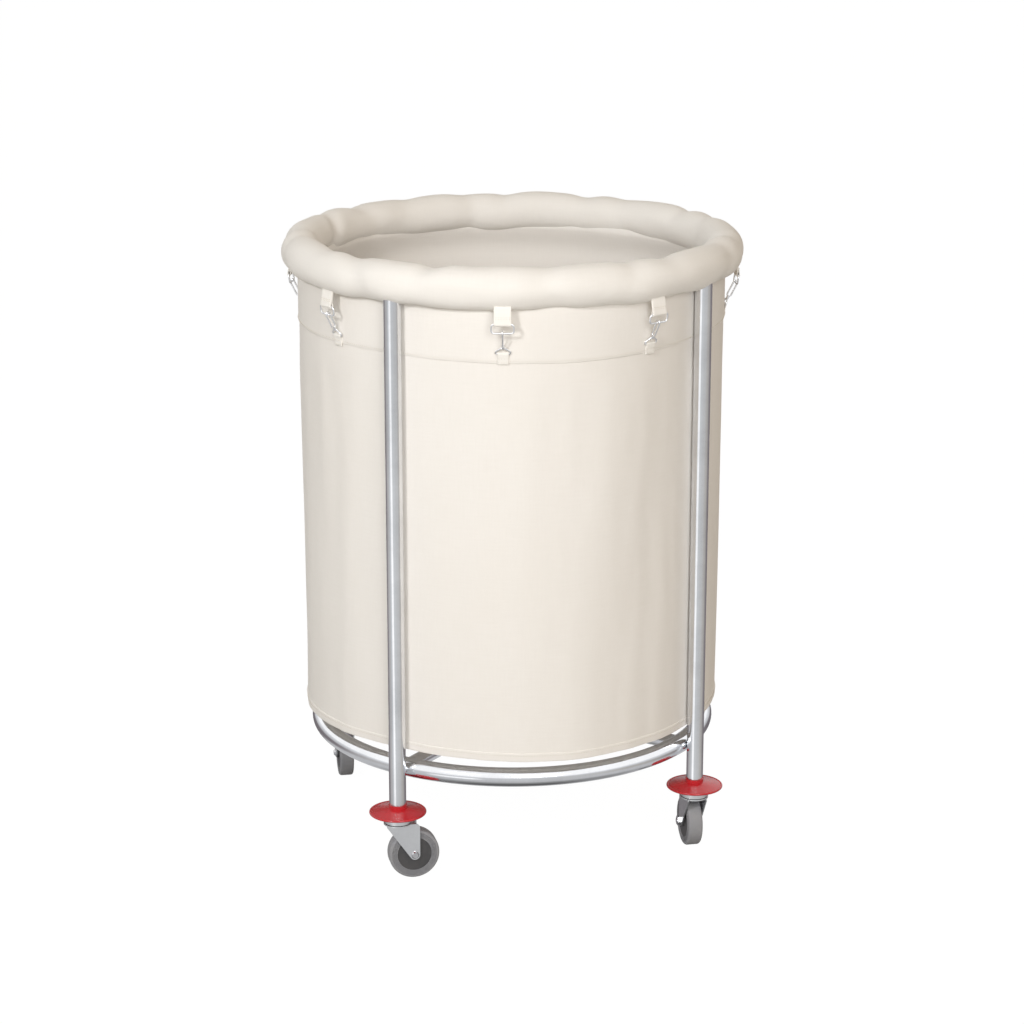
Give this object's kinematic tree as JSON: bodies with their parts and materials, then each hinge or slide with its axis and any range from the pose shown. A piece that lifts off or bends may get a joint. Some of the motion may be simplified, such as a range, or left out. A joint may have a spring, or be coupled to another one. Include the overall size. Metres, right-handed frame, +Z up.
{
  "type": "linen trolley",
  "caption": "Round linen trolley: a canvas bag with a padded rim, clipped over a chromed tube frame on swivel castors with red bumper discs.",
  "frame": {"origin": "on the floor under the middle of the bag", "axes": "+Z up; the legs stand on the diagonals at 45, 135, 225 and 315 degrees from +X; -Y is the front"},
  "size_m": [0.6839, 0.684, 0.918],
  "materials": {
    "chrome_tube": "bright chrome plate",
    "canvas": "plain woven cream canvas",
    "webbing": "flat cream webbing",
    "foam": "soft open-cell foam",
    "nickel_wire": "nickel-plated bent wire",
    "zinc_plate": "satin grey zinc plate",
    "bright_steel": "bright turned steel",
    "red_plastic": "glossy moulded red",
    "hub_plastic": "dark grey moulded",
    "tyre_rubber": "grey non-marking rubber",
    "socket_plastic": "moulded plug"
  },
  "bodies": {
    "root": {"bag_base": "canvas", "bag_cuff": "canvas", "bag_tabs": "webbing", "bag_wall": "canvas", "castor_stems": "bright_steel", "crossbar_half_left": "chrome_tube", "crossbar_half_right": "chrome_tube", "crossbar_long": "chrome_tube", "cuff_tabs": "webbing", "leg_front_left": "chrome_tube", "leg_front_right": "chrome_tube", "leg_rear_left": "chrome_tube", "leg_rear_right": "chrome_tube", "leg_sockets": "socket_plastic", "lower_hoop": "chrome_tube", "race_caps": "zinc_plate", "rim_padding": "foam", "swivel_balls": "bright_steel", "top_hoop": "chrome_tube"},
    "castor_front_left": {"fork_front_left": "zinc_plate", "axle_bolt_front_left": "bright_steel", "axle_nut_front_left": "bright_steel"},
    "wheel_front_left": {"hub_front_left": "hub_plastic", "tyre_front_left": "tyre_rubber"},
    "bumper_front_left": {"bumper_front_left": "red_plastic"},
    "castor_front_right": {"fork_front_right": "zinc_plate", "axle_bolt_front_right": "bright_steel", "axle_nut_front_right": "bright_steel"},
    "wheel_front_right": {"hub_front_right": "hub_plastic", "tyre_front_right": "tyre_rubber"},
    "bumper_front_right": {"bumper_front_right": "red_plastic"},
    "castor_rear_right": {"fork_rear_right": "zinc_plate", "axle_bolt_rear_right": "bright_steel", "axle_nut_rear_right": "bright_steel"},
    "wheel_rear_right": {"hub_rear_right": "hub_plastic", "tyre_rear_right": "tyre_rubber"},
    "bumper_rear_right": {"bumper_rear_right": "red_plastic"},
    "castor_rear_left": {"fork_rear_left": "zinc_plate", "axle_bolt_rear_left": "bright_steel", "axle_nut_rear_left": "bright_steel"},
    "wheel_rear_left": {"hub_rear_left": "hub_plastic", "tyre_rear_left": "tyre_rubber"},
    "bumper_rear_left": {"bumper_rear_left": "red_plastic"},
    "d_ring_1": {"d_ring_1": "nickel_wire"},
    "snap_hook_1": {"snap_hook_1": "nickel_wire"},
    "d_ring_2": {"d_ring_2": "nickel_wire"},
    "snap_hook_2": {"snap_hook_2": "nickel_wire"},
    "d_ring_3": {"d_ring_3": "nickel_wire"},
    "snap_hook_3": {"snap_hook_3": "nickel_wire"},
    "d_ring_4": {"d_ring_4": "nickel_wire"},
    "snap_hook_4": {"snap_hook_4": "nickel_wire"},
    "d_ring_5": {"d_ring_5": "nickel_wire"},
    "snap_hook_5": {"snap_hook_5": "nickel_wire"},
    "d_ring_6": {"d_ring_6": "nickel_wire"},
    "snap_hook_6": {"snap_hook_6": "nickel_wire"},
    "d_ring_7": {"d_ring_7": "nickel_wire"},
    "snap_hook_7": {"snap_hook_7": "nickel_wire"},
    "d_ring_8": {"d_ring_8": "nickel_wire"},
    "snap_hook_8": {"snap_hook_8": "nickel_wire"}
  },
  "joints": [
    {"name": "castor_swivel_front_left", "type": "hinge", "parent": "root", "child": "castor_front_left", "pos_m": [-0.22698, -0.22698, 0.088], "axis": [0, 0, 1], "continuous": true},
    {"name": "wheel_spin_front_left", "type": "hinge", "parent": "castor_front_left", "child": "wheel_front_left", "pos_m": [-0.20448, -0.22737, 0.0375], "axis": [-0.0175, -0.9998, 0], "continuous": true},
    {"name": "bumper_spin_front_left", "type": "hinge", "parent": "root", "child": "bumper_front_left", "pos_m": [-0.22698, -0.22698, 0.1023], "axis": [0, 0, 1], "continuous": true},
    {"name": "castor_swivel_front_right", "type": "hinge", "parent": "root", "child": "castor_front_right", "pos_m": [0.22698, -0.22698, 0.088], "axis": [0, 0, 1], "continuous": true},
    {"name": "wheel_spin_front_right", "type": "hinge", "parent": "castor_front_right", "child": "wheel_front_right", "pos_m": [0.22777, -0.2045, 0.0375], "axis": [0.9994, -0.0349, 0], "continuous": true},
    {"name": "bumper_spin_front_right", "type": "hinge", "parent": "root", "child": "bumper_front_right", "pos_m": [0.22698, -0.22698, 0.1023], "axis": [0, 0, 1], "continuous": true},
    {"name": "castor_swivel_rear_right", "type": "hinge", "parent": "root", "child": "castor_rear_right", "pos_m": [0.22698, 0.22698, 0.088], "axis": [0, 0, 1], "continuous": true},
    {"name": "wheel_spin_rear_right", "type": "hinge", "parent": "castor_rear_right", "child": "wheel_rear_right", "pos_m": [0.20584, 0.21929, 0.0375], "axis": [-0.342, 0.9397, 0], "continuous": true},
    {"name": "bumper_spin_rear_right", "type": "hinge", "parent": "root", "child": "bumper_rear_right", "pos_m": [0.22698, 0.22698, 0.1023], "axis": [0, 0, 1], "continuous": true},
    {"name": "castor_swivel_rear_left", "type": "hinge", "parent": "root", "child": "castor_rear_left", "pos_m": [-0.22698, 0.22698, 0.088], "axis": [0, 0, 1], "continuous": true},
    {"name": "wheel_spin_rear_left", "type": "hinge", "parent": "castor_rear_left", "child": "wheel_rear_left", "pos_m": [-0.22855, 0.20454, 0.0375], "axis": [-0.9976, 0.0698, 0], "continuous": true},
    {"name": "bumper_spin_rear_left", "type": "hinge", "parent": "root", "child": "bumper_rear_left", "pos_m": [-0.22698, 0.22698, 0.1023], "axis": [0, 0, 1], "continuous": true},
    {"name": "d_ring_swing_1", "type": "hinge", "parent": "root", "child": "d_ring_1", "pos_m": [-0.30366, -0.13838, 0.8432], "axis": [0.4147, -0.91, 0], "range_deg": [0, 28]},
    {"name": "snap_hook_swing_1", "type": "hinge", "parent": "root", "child": "snap_hook_1", "pos_m": [-0.28682, -0.13071, 0.798], "axis": [0.4147, -0.91, 0], "range_deg": [-10, 0]},
    {"name": "d_ring_swing_2", "type": "hinge", "parent": "root", "child": "d_ring_2", "pos_m": [-0.09161, -0.32373, 0.8432], "axis": [0.9622, -0.2723, 0], "range_deg": [0, 28]},
    {"name": "snap_hook_swing_2", "type": "hinge", "parent": "root", "child": "snap_hook_2", "pos_m": [-0.08657, -0.30593, 0.798], "axis": [0.9622, -0.2723, 0], "range_deg": [-10, 0]},
    {"name": "d_ring_swing_3", "type": "hinge", "parent": "root", "child": "d_ring_3", "pos_m": [0.13838, -0.30366, 0.8432], "axis": [0.91, 0.4147, 0], "range_deg": [0, 28]},
    {"name": "snap_hook_swing_3", "type": "hinge", "parent": "root", "child": "snap_hook_3", "pos_m": [0.13071, -0.28682, 0.798], "axis": [0.91, 0.4147, 0], "range_deg": [-10, 0]},
    {"name": "d_ring_swing_4", "type": "hinge", "parent": "root", "child": "d_ring_4", "pos_m": [0.33449, -0.04999, 0.8432], "axis": [0.1478, 0.989, 0], "range_deg": [0, 28]},
    {"name": "snap_hook_swing_4", "type": "hinge", "parent": "root", "child": "snap_hook_4", "pos_m": [0.31619, -0.04726, 0.798], "axis": [0.1478, 0.989, 0], "range_deg": [-10, 0]},
    {"name": "d_ring_swing_5", "type": "hinge", "parent": "root", "child": "d_ring_5", "pos_m": [0.27612, 0.18276, 0.8432], "axis": [-0.5519, 0.8339, 0], "range_deg": [0, 28]},
    {"name": "snap_hook_swing_5", "type": "hinge", "parent": "root", "child": "snap_hook_5", "pos_m": [0.26069, 0.17255, 0.798], "axis": [-0.5519, 0.8339, 0], "range_deg": [-10, 0]},
    {"name": "d_ring_swing_6", "type": "hinge", "parent": "root", "child": "d_ring_6", "pos_m": [0.08433, 0.32609, 0.8432], "axis": [-0.9681, 0.2504, 0], "range_deg": [0, 28]},
    {"name": "snap_hook_swing_6", "type": "hinge", "parent": "root", "child": "snap_hook_6", "pos_m": [0.0797, 0.30818, 0.798], "axis": [-0.9681, 0.2504, 0], "range_deg": [-10, 0]},
    {"name": "d_ring_swing_7", "type": "hinge", "parent": "root", "child": "d_ring_7", "pos_m": [-0.15365, 0.29516, 0.8432], "axis": [-0.887, -0.4617, 0], "range_deg": [0, 28]},
    {"name": "snap_hook_swing_7", "type": "hinge", "parent": "root", "child": "snap_hook_7", "pos_m": [-0.14511, 0.27875, 0.798], "axis": [-0.887, -0.4617, 0], "range_deg": [-10, 0]},
    {"name": "d_ring_swing_8", "type": "hinge", "parent": "root", "child": "d_ring_8", "pos_m": [-0.31378, 0.11732, 0.8432], "axis": [-0.3502, -0.9367, 0], "range_deg": [0, 28]},
    {"name": "snap_hook_swing_8", "type": "hinge", "parent": "root", "child": "snap_hook_8", "pos_m": [-0.29645, 0.11084, 0.798], "axis": [-0.3502, -0.9367, 0], "range_deg": [-10, 0]}
  ],
  "couplings": [
    {"joint": "snap_hook_swing_1", "follows": "d_ring_swing_1", "ratio": -0.352},
    {"joint": "snap_hook_swing_2", "follows": "d_ring_swing_2", "ratio": -0.352},
    {"joint": "snap_hook_swing_3", "follows": "d_ring_swing_3", "ratio": -0.352},
    {"joint": "snap_hook_swing_4", "follows": "d_ring_swing_4", "ratio": -0.352},
    {"joint": "snap_hook_swing_5", "follows": "d_ring_swing_5", "ratio": -0.352},
    {"joint": "snap_hook_swing_6", "follows": "d_ring_swing_6", "ratio": -0.352},
    {"joint": "snap_hook_swing_7", "follows": "d_ring_swing_7", "ratio": -0.352},
    {"joint": "snap_hook_swing_8", "follows": "d_ring_swing_8", "ratio": -0.352}
  ]
}
